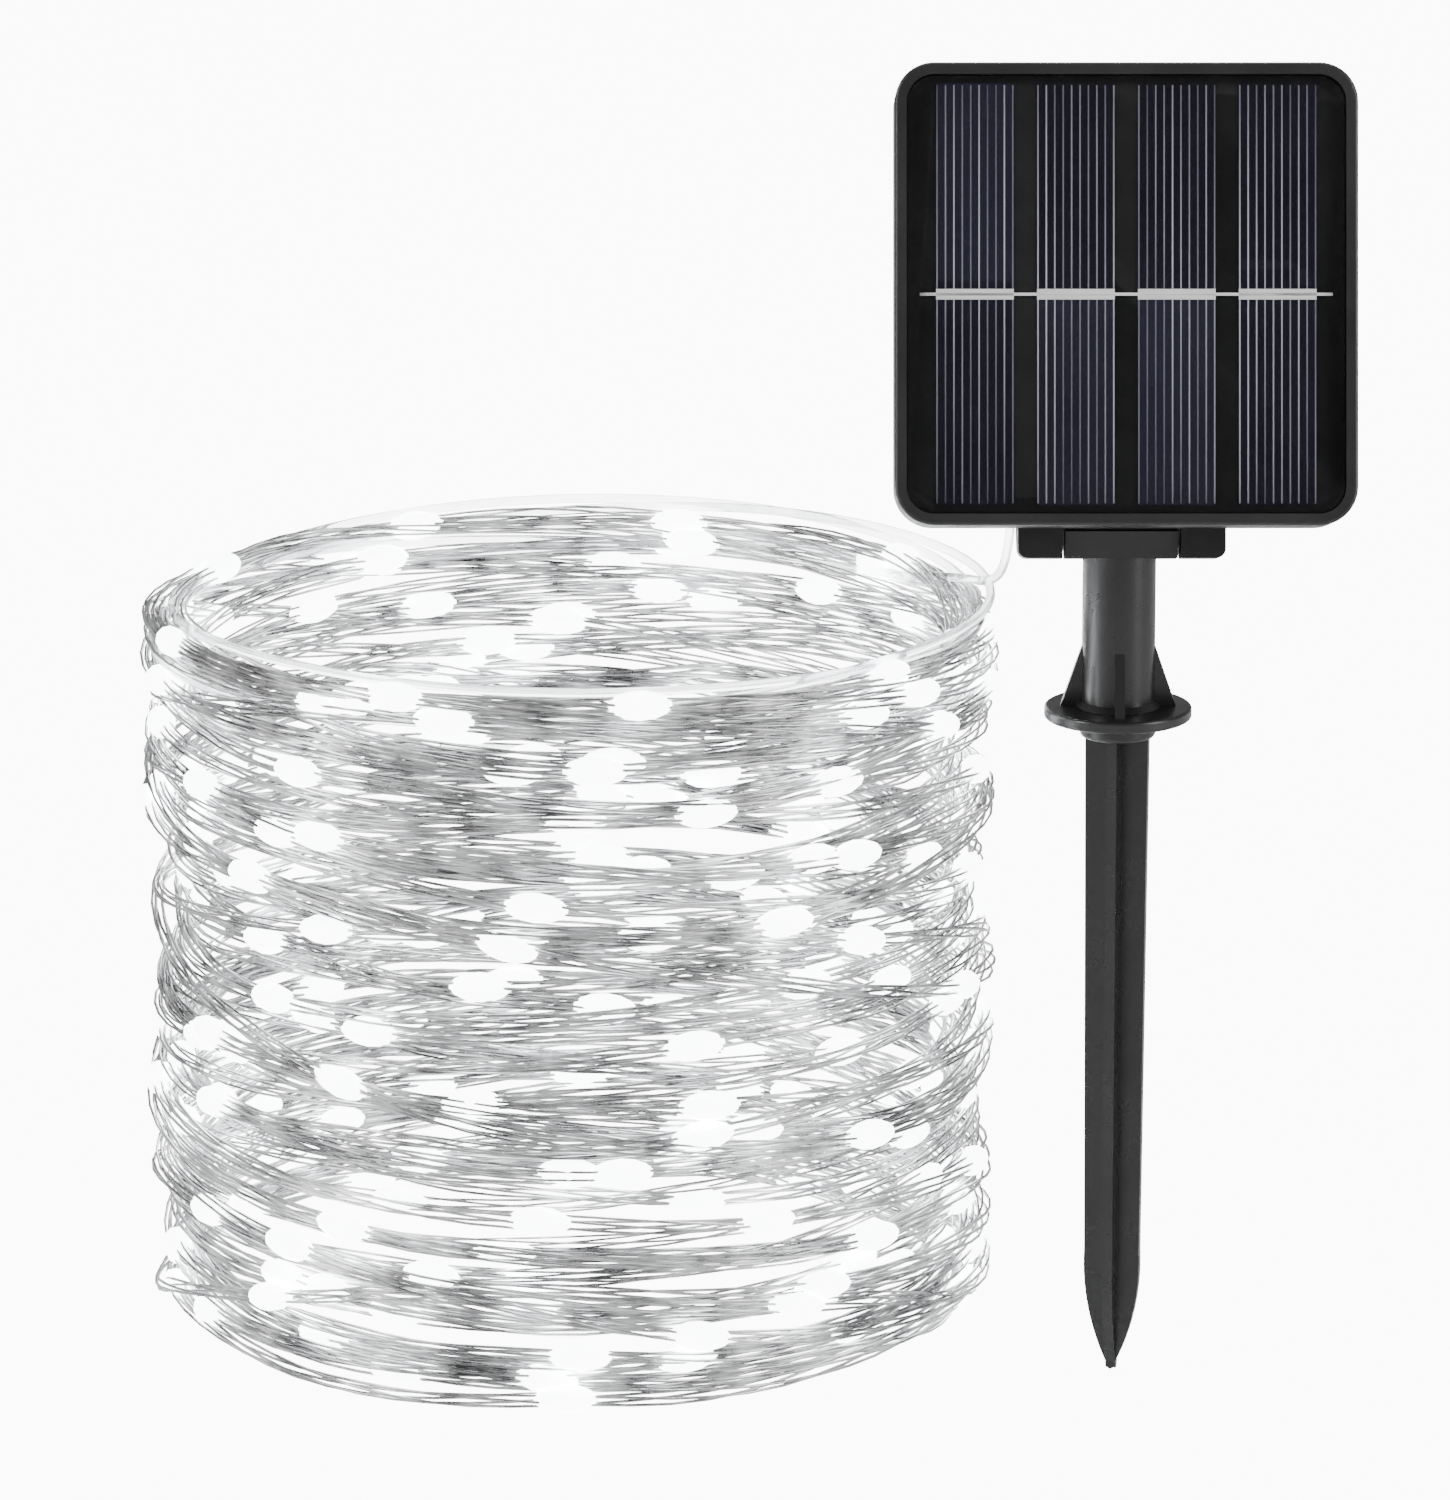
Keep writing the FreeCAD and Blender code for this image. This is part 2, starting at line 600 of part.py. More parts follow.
def ring(r0, r1, z0, z1, corner):
    """Ring round the coil's axis with rounded edges."""
    base = V(COIL_X, COIL_Y, z0)
    body = Part.makeCylinder(r1, z1 - z0, base).cut(Part.makeCylinder(r0, z1 - z0, base))
    return body.makeFillet(corner, [e for e in body.Edges if e.Closed])


def string_coil():
    """Outer shape of the coiled light string."""
    return ring(COIL_R0, COIL_R1, 0, COIL_H, COIL_ROUND)


def lead_coil():
    """Outer shape of the lead's own turns, laid on the string coil."""
    return ring(LEAD_COIL_R0, LEAD_COIL_R1, COIL_H, COIL_H + LEAD_COIL_H, LEAD_COIL_ROUND)


def joint_sleeve():
    """Moulded sleeve where the lead meets the string, against the coil's inner wall."""
    turn = math.radians(SLEEVE_TURN)
    centre = V(COIL_X + SLEEVE_RING_R * math.cos(turn), COIL_Y + SLEEVE_RING_R * math.sin(turn), SLEEVE_Z)
    along = V(-math.sin(turn), math.cos(turn), 0)
    body = Part.makeCylinder(SLEEVE_R, SLEEVE_L, centre - along * (SLEEVE_L / 2), along)
    return body.makeFillet(0.6, [e for e in body.Edges if e.Closed])


HEAD_NODES = {
    "front_bezel": front_bezel,
    "solar_board": solar_board,
    "solar_cells": solar_cells,
    "cell_ribbons": ribbons,
    "resin_cover": resin_cover,
    "housing_gasket": housing_gasket,
    "back_housing": back_housing,
    "housing_screws": housing_screws,
    "circuit_board": circuit_board,
    "board_parts": board_parts,
    "board_screws": board_screws,
    "battery_cell": battery_cell,
    "spring_contact": spring_contact,
    "plate_contact": plate_contact,
    "battery_door": battery_door,
    "door_seal": door_seal,
    "door_screws": door_screws,
    "power_button": lambda: button(-BUTTON_X),
    "mode_button": lambda: button(BUTTON_X),
    "cable_gland": cable_gland,
    "pivot_bolt": pivot_bolt,
    "pivot_nut": pivot_nut,
    "pivot_washers": pivot_washers,
}

FIXED_NODES = {
    "hinge_knuckle": hinge_knuckle,
    "post_tube": post_tube,
    "ground_spike": ground_spike,
    "lead_cable": lead_cable,
    "lead_coil": lead_coil,
    "joint_sleeve": joint_sleeve,
    "string_coil": string_coil,
}


def export(name, made, place):
    """Write one node; a list becomes a group of separate solids."""
    shapes = made if isinstance(made, list) else [made]
    solids = [place(solid) for shape in shapes for solid in shape.Solids]
    for solid in solids:
        if not solid.isValid() or not solid.isClosed():
            print("BAD SOLID", name)
    body = solids[0] if len(solids) == 1 else Part.makeCompound(solids)
    body.exportStep("parts/" + name + ".step")
    bounds = body.BoundBox
    print(name, len(solids), "solid(s)", round(body.Volume, 1), "mm3",
          [round(v, 1) for v in (bounds.XMin, bounds.YMin, bounds.ZMin, bounds.XMax, bounds.YMax, bounds.ZMax)])


def main():
    os.makedirs("parts", exist_ok=True)
    for name, make in HEAD_NODES.items():
        export(name, make(), lean)
    for name, make in FIXED_NODES.items():
        export(name, make(), lambda shape: shape)


main()
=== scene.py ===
"""Looks of the solar string lights: materials, the coiled light string, the clear lead, lights and camera."""
import math
import random

import bpy
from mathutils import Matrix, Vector


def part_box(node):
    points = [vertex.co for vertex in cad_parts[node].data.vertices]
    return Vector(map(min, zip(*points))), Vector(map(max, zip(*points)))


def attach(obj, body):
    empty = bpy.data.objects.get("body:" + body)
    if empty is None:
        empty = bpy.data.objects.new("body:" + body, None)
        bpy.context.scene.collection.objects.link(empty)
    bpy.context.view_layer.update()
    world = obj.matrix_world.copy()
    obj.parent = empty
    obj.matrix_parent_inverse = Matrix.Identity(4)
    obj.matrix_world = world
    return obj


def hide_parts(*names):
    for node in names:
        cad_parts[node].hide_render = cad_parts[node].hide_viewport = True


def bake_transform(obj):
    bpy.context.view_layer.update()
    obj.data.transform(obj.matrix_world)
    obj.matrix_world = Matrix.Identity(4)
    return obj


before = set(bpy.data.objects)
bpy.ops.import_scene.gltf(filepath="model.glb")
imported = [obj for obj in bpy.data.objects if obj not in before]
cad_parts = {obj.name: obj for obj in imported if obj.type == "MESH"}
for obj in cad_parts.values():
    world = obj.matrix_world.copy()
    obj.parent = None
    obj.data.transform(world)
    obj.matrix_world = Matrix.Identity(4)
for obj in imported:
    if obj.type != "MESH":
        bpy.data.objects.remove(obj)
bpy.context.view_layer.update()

MM = 0.001

# Light string: five fine wires, loosely twisted, with a lamp bead every 100 mm
STRING_TURNS = 67
STRING_PASSES = 11           # times the winding travels from one rim to the other
STRING_STEPS = 16            # control points to a turn
WIRES = 5
WIRE_R = 0.00027
WIRE_OFFSET = 0.0011
WIRE_PITCH = 0.11
BEAD_SPACING = 0.1
BEAD_L = 0.0112
BEAD_R = 0.0026
BEAD_GROUPS = 10
BEAD_RINGS = 7
BEAD_SIDES = 10
LAMP_GLOW = 10.0
STRING_MARGIN = 0.0028       # from the middle of the string to the outside of the coil
RIM_CROWDING = 0.25          # how much closer together the turns lie near the two rims
START_LEVEL = 0.93           # where the winding starts, in passes up from the lower rim
START_ANGLE = math.radians(-90.0)
LOOSE_TURNS = (3, 11, 19, 28, 36, 44, 52, 61)

# Lead: clear cable, one free run and then its own turns on the coil's top rim
LEAD_D = 0.0016
LEAD_TURNS = 5
LEAD_STEPS = 14              # control points to a turn
LEAD_GAP = math.radians(50)  # part of the last turn kept for the way down to the sleeve
LEAD_ROUTE = [
    (-22.5, -8.36, 167.53),
    (-22.5, 8.64, 162.97),
    (-17.5, 23.5, 153.5),
    (-18.2, 31.5, 138.0),
    (-20.3, 44.0, 130.5),
    (-25.8, 57.0, 128.5),
]

# Studio
FLOOR_GLOW = 13.0            # brightness of the floor, as the camera sees it
BACKDROP = 13.0              # the same behind the object
FLOOR_SHARE = 0.85           # part of the floor's look that is that glow; the rest takes shadows
SKY = 0.30                   # brightness that lights the object

# Solar cells
CELL_COUNT = 4
CELL_W = 0.0131
CELL_H = 0.0711
CELL_FACE = 0.0273           # front of the cells, from the pivot toward the sun
CELL_MID_UP = 0.036          # middle of the cells, from the pivot up the panel
FINGERS = 10
FINGER_MARGIN = 0.0003
RIBBON_FACE = 0.0274
RIBBON_H = 0.0018
LINK_REACH = 0.03480
LINK_H = 0.00050
FINGER_W = 0.00024
FINGER_T = 0.00004

PIVOT = Vector((0.0, 0.0, 0.1539))
LEAN = math.radians(15.0)

COIL_LOW, COIL_HIGH = (Vector(corner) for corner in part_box("string_coil"))
COIL_MID = (COIL_LOW + COIL_HIGH) / 2
COIL_R = (COIL_HIGH.x - COIL_LOW.x) / 2
COIL_WALL = 0.014
COIL_TOP = COIL_HIGH.z


# ---------------------------------------------------------------- shapes

def nurbs_points(name, points, resolution):
    """Points along a smooth spline that has the given points as its control points."""
    data = bpy.data.curves.new(name, "CURVE")
    data.dimensions = "3D"
    data.resolution_u = resolution
    spline = data.splines.new("NURBS")
    spline.points.add(len(points) - 1)
    for slot, point in zip(spline.points, points):
        slot.co = (point[0], point[1], point[2], 1.0)
    spline.order_u = 3
    spline.use_endpoint_u = True
    holder = bpy.data.objects.new(name, data)
    mesh = bpy.data.meshes.new_from_object(holder)
    line = [v.co.copy() for v in mesh.vertices]
    bpy.data.meshes.remove(mesh)
    bpy.data.objects.remove(holder)
    bpy.data.curves.remove(data)
    return line


def tangents(line):
    """Direction of travel at each point of a line."""
    last = len(line) - 1
    return [(line[min(i + 1, last)] - line[max(i - 1, 0)]).normalized() for i in range(len(line))]


def side_vectors(line):
    """For each point, two directions square to the line that turn with it as little as possible."""
    along = tangents(line)
    side = along[0].orthogonal().normalized()
    pairs = []
    for tangent in along:
        side = (side - tangent * side.dot(tangent)).normalized()
        pairs.append((side, tangent.cross(side)))
    return pairs


def distances(line):
    """Length run so far, at each point of a line."""
    total = 0.0
    run = [0.0]
    for a, b in zip(line, line[1:]):
        total += (b - a).length
        run.append(total)
    return run


def add_tube(verts, faces, line, pairs, radius, sides):
    """Add one closed tube round a line to a mesh's lists."""
    first = len(verts)
    for point, (u, v) in zip(line, pairs):
        for k in range(sides):
            turn = 2 * math.pi * k / sides
            verts.append(point + (u * math.cos(turn) + v * math.sin(turn)) * radius)
    for i in range(len(line) - 1):
        for k in range(sides):
            a = first + i * sides + k
            b = first + i * sides + (k + 1) % sides
            faces.append((a, b, b + sides, a + sides))
    faces.append(tuple(range(first + sides - 1, first - 1, -1)))
    last = first + (len(line) - 1) * sides
    faces.append(tuple(range(last, last + sides)))


def new_piece(name, verts, faces, material, body=None):
    mesh = bpy.data.meshes.new(name)
    mesh.from_pydata([tuple(v) for v in verts], [], faces)
    mesh.polygons.foreach_set("use_smooth", [len(p.vertices) == 4 for p in mesh.polygons])
    mesh.materials.append(material)
    piece = bpy.data.objects.new(name, mesh)
    bpy.context.scene.collection.objects.link(piece)
    if body:
        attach(piece, body)
    return piece


# ------------------------------------------------------------- materials

def shader(name, **values):
    """New material; returns it with its node tree and its principled shader."""
    material = bpy.data.materials.new(name)
    material.use_nodes = True
    tree = material.node_tree
    surface = tree.nodes["Principled BSDF"]
    for key, value in values.items():
        surface.inputs[key.replace("_", " ")].default_value = value
    return material, tree, surface


def noise(tree, scale, detail=4.0, stretch=(1, 1, 1)):
    """Noise texture in the object's own coordinates."""
    place = tree.nodes.new("ShaderNodeTexCoord")
    fit = tree.nodes.new("ShaderNodeMapping")
    fit.inputs["Scale"].default_value = stretch
    texture = tree.nodes.new("ShaderNodeTexNoise")
    texture.inputs["Scale"].default_value = scale
    texture.inputs["Detail"].default_value = detail
    tree.links.new(place.outputs["Object"], fit.inputs["Vector"])
    tree.links.new(fit.outputs["Vector"], texture.inputs["Vector"])
    return texture.outputs["Fac"]


def ramp(tree, source, low, high, start=0.3, end=0.7):
    """Colour or grey between two values, from a 0 to 1 source."""
    node = tree.nodes.new("ShaderNodeValToRGB")
    node.color_ramp.elements[0].position = start
    node.color_ramp.elements[1].position = end
    node.color_ramp.elements[0].color = (*low, 1.0)
    node.color_ramp.elements[1].color = (*high, 1.0)
    tree.links.new(source, node.inputs["Fac"])
    return node.outputs["Color"]


def bump(tree, surface, source, strength, depth):
    """Fine relief on a shader, from a 0 to 1 source."""
    node = tree.nodes.new("ShaderNodeBump")
    node.inputs["Strength"].default_value = strength
    node.inputs["Distance"].default_value = depth
    tree.links.new(source, node.inputs["Height"])
    tree.links.new(node.outputs["Normal"], surface.inputs["Normal"])


def grey(value):
    return (value, value, value)


def moulded(name, low, high, rough, grain=900.0, strength=0.25):
    """Moulded plastic or rubber: fine grain, slight changes of tone and gloss."""
    material, tree, surface = shader(name)
    tone = noise(tree, 45.0)
    tree.links.new(ramp(tree, tone, low, high), surface.inputs["Base Color"])
    gloss = noise(tree, 160.0)
    tree.links.new(ramp(tree, gloss, grey(rough - 0.05), grey(rough + 0.07)), surface.inputs["Roughness"])
    bump(tree, surface, noise(tree, grain, 2.0), strength, 0.00005)
    return material


def metal(name, low, high, rough, stretch=(1, 1, 1)):
    """Plated metal with faint drawing marks."""
    material, tree, surface = shader(name, Metallic=1.0)
    tone = noise(tree, 300.0, 3.0, stretch)
    tree.links.new(ramp(tree, tone, low, high), surface.inputs["Base Color"])
    tree.links.new(ramp(tree, tone, grey(rough), grey(rough + 0.12)), surface.inputs["Roughness"])
    bump(tree, surface, noise(tree, 1500.0, 2.0, stretch), 0.15, 0.00002)
    return material


def silicon():
    """Dark blue cell with faint crystal tone changes."""
    material, tree, surface = shader("silicon", Coat_Weight=0.3)
    tone = noise(tree, 60.0, 2.0, (1.0, 1.0, 0.3))
    blues = ramp(tree, tone, (0.006, 0.006, 0.018), (0.012, 0.012, 0.030))
    tree.links.new(blues, surface.inputs["Base Color"])
    gloss = noise(tree, 220.0)
    tree.links.new(ramp(tree, gloss, grey(0.28), grey(0.38)), surface.inputs["Roughness"])
    return material


def finger_silver():
    """Printed silver lines, some duller than others."""
    material, tree, surface = shader("finger_silver", Metallic=0.2, Roughness=0.5)
    tone = noise(tree, 420.0, 1.0, (1.0, 0.02, 0.02))
    silvers = ramp(tree, tone, (0.14, 0.135, 0.19), (0.50, 0.49, 0.56), 0.4, 0.68)
    tree.links.new(silvers, surface.inputs["Base Color"])
    return material


def clear_resin():
    """Thin clear layer over the cells."""
    material, tree, surface = shader("clear_resin", Alpha=0.10, IOR=1.5)
    tree.links.new(ramp(tree, noise(tree, 70.0), grey(0.10), grey(0.20)), surface.inputs["Roughness"])
    surface.inputs["Base Color"].default_value = (0.02, 0.02, 0.025, 1.0)
    bump(tree, surface, noise(tree, 120.0, 1.0), 0.1, 0.0001)
    return material


def clear_cable():
    """Clear soft plastic over pale conductors."""
    material, tree, surface = shader("clear_cable", IOR=1.40, Transmission_Weight=0.85)
    tone = noise(tree, 200.0, 2.0)
    tints = ramp(tree, tone, (0.74, 0.75, 0.77), (0.92, 0.93, 0.94))
    tree.links.new(tints, surface.inputs["Base Color"])
    tree.links.new(ramp(tree, tone, grey(0.12), grey(0.22)), surface.inputs["Roughness"])
    return material


def wire_silver():
    """Bright tinned wire in a thin clear skin, with duller stretches."""
    material, tree, surface = shader("wire_silver", Metallic=0.85, Coat_Weight=0.4, Coat_Roughness=0.1)
    tone = noise(tree, 120.0, 3.0)
    tree.links.new(ramp(tree, tone, grey(0.25), grey(0.80), 0.38, 0.62), surface.inputs["Base Color"])
    tree.links.new(ramp(tree, tone, grey(0.22), grey(0.38)), surface.inputs["Roughness"])
    return material


def lamp_glow():
    """Lit clear drop round a small cool white lamp."""
    material, tree, surface = shader("lamp_glow", Base_Color=(0.95, 0.97, 1.0, 1.0), Roughness=0.2)
    tone = noise(tree, 300.0, 1.0)
    tree.links.new(ramp(tree, tone, (0.90, 0.95, 1.0), (1.0, 1.0, 1.0)), surface.inputs["Emission Color"])
    surface.inputs["Emission Strength"].default_value = LAMP_GLOW
    return material


def circuit_green():
    """Lacquered board with faint copper tracks."""
    material, tree, surface = shader("circuit_green", Roughness=0.35)
    tracks = noise(tree, 260.0, 0.0)
    greens = ramp(tree, tracks, (0.01, 0.09, 0.035), (0.03, 0.17, 0.06), 0.48, 0.52)
    tree.links.new(greens, surface.inputs["Base Color"])
    return material


def battery_can():
    """Printed plastic sleeve on the cell."""
    material, tree, surface = shader("battery_can", Metallic=0.3)
    tone = noise(tree, 30.0, 1.0, (0.2, 1.0, 1.0))
    tree.links.new(ramp(tree, tone, (0.03, 0.18, 0.08), (0.05, 0.26, 0.12)), surface.inputs["Base Color"])
    tree.links.new(ramp(tree, noise(tree, 200.0), grey(0.25), grey(0.4)), surface.inputs["Roughness"])
    return material


def seen_directly(tree):
    """1 for what is looked at, straight on or through something clear; 0 for what only lights the object."""
    path = tree.nodes.new("ShaderNodeLightPath")
    either = tree.nodes.new("ShaderNodeMath")
    either.operation = "MAXIMUM"
    tree.links.new(path.outputs["Is Camera Ray"], either.inputs[0])
    tree.links.new(path.outputs["Is Transmission Ray"], either.inputs[1])
    return either.outputs[0]


def floor_material():
    """Pale board that looks evenly white, and gives the object only its own soft bounce."""
    material, tree, surface = shader("floor", Roughness=0.9)
    tree.links.new(ramp(tree, noise(tree, 3.0), grey(0.88), grey(0.90)), surface.inputs["Base Color"])
    glow = tree.nodes.new("ShaderNodeEmission")
    glow.inputs["Strength"].default_value = FLOOR_GLOW
    share = tree.nodes.new("ShaderNodeMath")
    share.operation = "MULTIPLY"
    share.inputs[1].default_value = FLOOR_SHARE
    both = tree.nodes.new("ShaderNodeMixShader")
    tree.links.new(seen_directly(tree), share.inputs[0])
    tree.links.new(share.outputs[0], both.inputs[0])
    tree.links.new(surface.outputs[0], both.inputs[1])
    tree.links.new(glow.outputs[0], both.inputs[2])
    tree.links.new(both.outputs[0], tree.nodes["Material Output"].inputs["Surface"])
    return material


def cad_materials():
    """Give each carried-over CAD node its finish."""
    black = moulded("black_plastic", grey(0.012), grey(0.020), 0.40)
    stake = moulded("stake_plastic", grey(0.010), grey(0.016), 0.29, 700.0, 0.12)
    rubber = moulded("black_rubber", grey(0.010), grey(0.016), 0.62, 1200.0)
    keys = moulded("button_rubber", grey(0.030), grey(0.042), 0.55, 1200.0)
    board = moulded("board_black", (0.006, 0.006, 0.007), (0.010, 0.010, 0.011), 0.45, 90.0, 0.05)
    steel = metal("screw_steel", grey(0.45), grey(0.62), 0.28)
    contact = metal("contact_plate", grey(0.60), grey(0.75), 0.25, (1.0, 0.2, 0.2))
    ribbon = moulded("tinned_ribbon", grey(0.93), grey(0.99), 0.40, 400.0, 0.1)
    finishes = {
        "front_bezel": black, "back_housing": black, "battery_door": black, "hinge_knuckle": black,
        "post_tube": stake, "ground_spike": stake, "pivot_washers": stake,
        "solar_board": board, "solar_cells": silicon(), "cell_ribbons": ribbon, "resin_cover": clear_resin(),
        "housing_gasket": rubber, "door_seal": rubber, "cable_gland": rubber,
        "power_button": keys, "mode_button": keys,
        "housing_screws": steel, "door_screws": steel, "board_screws": steel,
        "pivot_bolt": steel, "pivot_nut": steel,
        "circuit_board": circuit_green(),
        "board_parts": moulded("component_black", grey(0.02), grey(0.04), 0.4),
        "battery_cell": battery_can(), "spring_contact": contact, "plate_contact": contact,
    }
    ribbon_tinning(ribbon)
    for name, material in finishes.items():
        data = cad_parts[name].data
        data.materials.clear()
        data.materials.append(material)


# ---------------------------------------------------------------- pieces

def head_point(x, toward_sun, up):
    """Point of the head's own frame, about the pivot, put in its place at rest."""
    y = -toward_sun
    return Vector((
        x,
        PIVOT.y + y * math.cos(LEAN) + up * math.sin(LEAN),
        PIVOT.z - y * math.sin(LEAN) + up * math.cos(LEAN),
    ))


def add_plate(verts, faces, middle, size, depths):
    """Add one thin plate that lies on the panel, to a mesh's lists."""
    first = len(verts)
    for depth in depths:
        for right, up in ((-0.5, -0.5), (0.5, -0.5), (0.5, 0.5), (-0.5, 0.5)):
            verts.append(head_point(middle[0] + right * size[0], depth, middle[1] + up * size[1]))
    for quad in ((0, 1, 2, 3), (7, 6, 5, 4), (0, 4, 5, 1), (1, 5, 6, 2), (2, 6, 7, 3), (3, 7, 4, 0)):
        faces.append(tuple(first + k for k in quad))


def cell_centres():
    """Middle of each cell, left to right."""
    low, high = (Vector(c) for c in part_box("solar_cells"))
    pitch = (high.x - low.x - CELL_W) / (CELL_COUNT - 1)
    return [low.x + CELL_W / 2 + cell * pitch for cell in range(CELL_COUNT)]


def cell_fingers():
    """Fine printed lines that run up each cell."""
    verts = []
    faces = []
    depths = (CELL_FACE - FINGER_T / 2, CELL_FACE + FINGER_T)
    for centre in cell_centres():
        for line in range(FINGERS):
            x = centre + (line / (FINGERS - 1) - 0.5) * (CELL_W - FINGER_W * 1.4)
            add_plate(verts, faces, (x, CELL_MID_UP), (FINGER_W, CELL_H - 2 * FINGER_MARGIN), depths)
    piece = new_piece("cell_fingers", verts, faces, finger_silver(), "head")


def ribbon_tinning(material):
    """Bright solder skin on the ribbon that joins the cells."""
    verts = []
    faces = []
    depths = (RIBBON_FACE - FINGER_T / 2, RIBBON_FACE + FINGER_T)
    for centre in cell_centres():
        add_plate(verts, faces, (centre, CELL_MID_UP), (CELL_W, RIBBON_H), depths)
    add_plate(verts, faces, (0.0, CELL_MID_UP), (2 * LINK_REACH, LINK_H), depths)
    piece = new_piece("ribbon_tinning", verts, faces, material, "head")


def eased(values, t):
    """Value between whole turns, with no sudden change."""
    i = int(t)
    f = t - i
    f = f * f * (3 - 2 * f)
    a = values[min(i, len(values) - 1)]
    b = values[min(i + 1, len(values) - 1)]
    return a + (b - a) * f


def string_route():
    """Control points of the light string: a wall of loose, tilted turns that cross at small angles."""
    rng = random.Random(11)
    count = STRING_TURNS + 2
    r_low = COIL_R - COIL_WALL + STRING_MARGIN
    r_high = COIL_R - STRING_MARGIN
    radius = [rng.uniform(r_low, r_high) for _ in range(count)]
    tilt = [rng.uniform(0.0005, 0.0030) for _ in range(count)]
    for turn in LOOSE_TURNS:
        tilt[turn] = rng.uniform(0.012, 0.022)
        radius[turn] = r_high
    phase = [rng.uniform(0, 2 * math.pi) for _ in range(count)]
    oval = [rng.uniform(-0.0009, 0.0009) for _ in range(count)]
    waves = [(rng.uniform(2.3, 6.7), rng.uniform(0, 6.28), rng.uniform(0.0002, 0.0006)) for _ in range(5)]
    low = STRING_MARGIN
    high = COIL_TOP + STRING_MARGIN
    points = []
    steps = STRING_TURNS * STRING_STEPS
    for i in range(steps + 1):
        t = i / STRING_STEPS
        angle = 2 * math.pi * t + START_ANGLE
        travel = (t / STRING_TURNS * STRING_PASSES + START_LEVEL) % 2.0
        level = travel if travel < 1.0 else 2.0 - travel
        level -= RIM_CROWDING * math.sin(2 * math.pi * level) / (2 * math.pi)
        z = low + (high - low) * level
        z += eased(tilt, t) * math.sin(angle + eased(phase, t))
        r = eased(radius, t) + eased(oval, t) * math.cos(2 * angle)
        for rate, start, size in waves:
            z += size * math.sin(rate * angle + start)
            r += size * 0.6 * math.cos(rate * angle + 2 * start)
        z = min(max(z, low + 0.0004 * (i % 3)), high - 0.0004 * (i % 3))
        r = min(max(r, r_low), r_high)
        points.append(Vector((COIL_MID.x + r * math.cos(angle), COIL_MID.y + r * math.sin(angle), z)))
    return points


def light_string():
    """The string's wires as one mesh that follows its route."""
    line = nurbs_points("string_route", string_route(), 4)
    pairs = side_vectors(line)
    run = distances(line)
    verts = []
    faces = []
    for wire in range(WIRES):
        strand = []
        for point, (u, v), s in zip(line, pairs, run):
            turn = 2 * math.pi * (s / WIRE_PITCH + wire / WIRES)
            offset = WIRE_OFFSET * (1.0 + 0.25 * math.sin(s * 31.0 + wire * 2.0))
            strand.append(point + (u * math.cos(turn) + v * math.sin(turn)) * offset)
        add_tube(verts, faces, strand, side_vectors(strand), WIRE_R, 4)
    piece = new_piece("light_string", verts, faces, wire_silver(), "post")
    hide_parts("string_coil")
    print("string length", round(run[-1], 3))
    return piece, line, run


def lamp_beads(line, run):
    """Lit drops along the string, one every 100 mm, in a few joined pieces."""
    glow = lamp_glow()
    along = tangents(line)
    groups = [([], []) for _ in range(BEAD_GROUPS)]
    count = int((run[-1] - 0.05) / BEAD_SPACING)
    i = 0
    for bead in range(count):
        target = 0.05 + bead * BEAD_SPACING
        while run[i + 1] < target:
            i += 1
        f = (target - run[i]) / (run[i + 1] - run[i])
        centre = line[i].lerp(line[i + 1], f)
        forward = along[i]
        u = forward.orthogonal().normalized()
        v = forward.cross(u)
        verts, faces = groups[bead * BEAD_GROUPS // count]
        first = len(verts)
        for ring in range(BEAD_RINGS):
            a = math.pi * (ring + 0.5) / BEAD_RINGS
            radius = BEAD_R * math.sin(a) ** 1.1
            shift = -math.cos(a) * BEAD_L / 2
            for k in range(BEAD_SIDES):
                turn = 2 * math.pi * k / BEAD_SIDES
                verts.append(centre + forward * shift + (u * math.cos(turn) + v * math.sin(turn)) * radius)
        for ring in range(BEAD_RINGS - 1):
            for k in range(BEAD_SIDES):
                a = first + ring * BEAD_SIDES + k
                b = first + ring * BEAD_SIDES + (k + 1) % BEAD_SIDES
                faces.append((a, b, b + BEAD_SIDES, a + BEAD_SIDES))
        faces.append(tuple(range(first + BEAD_SIDES - 1, first - 1, -1)))
        last = first + (BEAD_RINGS - 1) * BEAD_SIDES
        faces.append(tuple(range(last, last + BEAD_SIDES)))
    beads = []
    for number, (verts, faces) in enumerate(groups):
        piece = new_piece(f"lamp_beads_{number + 1}", verts, faces, glow, "post")
        beads.append(piece)
    return beads


